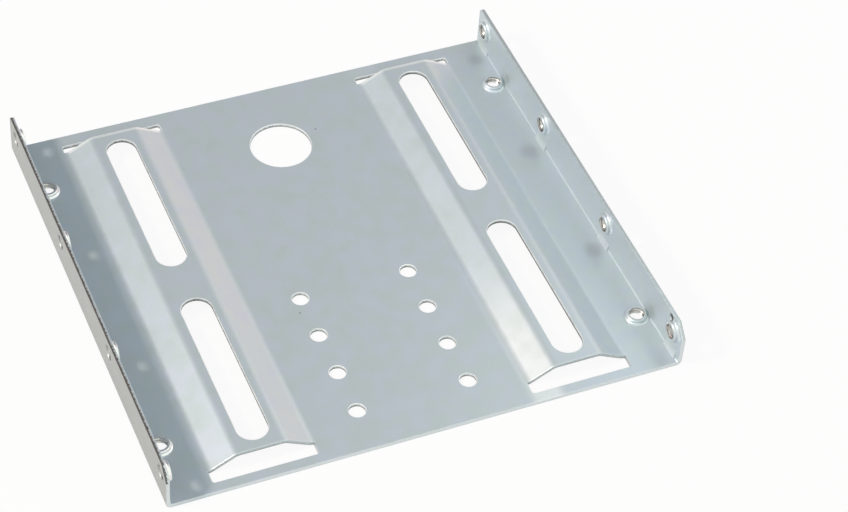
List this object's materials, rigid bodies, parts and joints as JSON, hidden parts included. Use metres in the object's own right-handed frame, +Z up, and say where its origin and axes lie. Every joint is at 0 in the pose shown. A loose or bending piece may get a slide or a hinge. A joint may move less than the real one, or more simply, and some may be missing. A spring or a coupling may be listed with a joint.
{
  "type": "drive bay adapter bracket",
  "caption": "Shallow folded steel tray with slotted raised ribs, which carries a small drive in a bay made for a larger one.",
  "frame": {"origin": "on the underside of the floor, in the middle of the width and of the length", "axes": "+X across the width, to the right of someone who looks in from the front; +Y from the front edge, by the small floor holes, to the back edge, by the round opening; +Z up, the way the walls stand"},
  "size_m": [0.1016, 0.0954, 0.0094],
  "materials": {
    "zinc_plated_steel": "bright bluish zinc plating, smooth and slightly mottled"
  },
  "bodies": {
    "root": {"bracket": "zinc_plated_steel"}
  },
  "joints": []
}
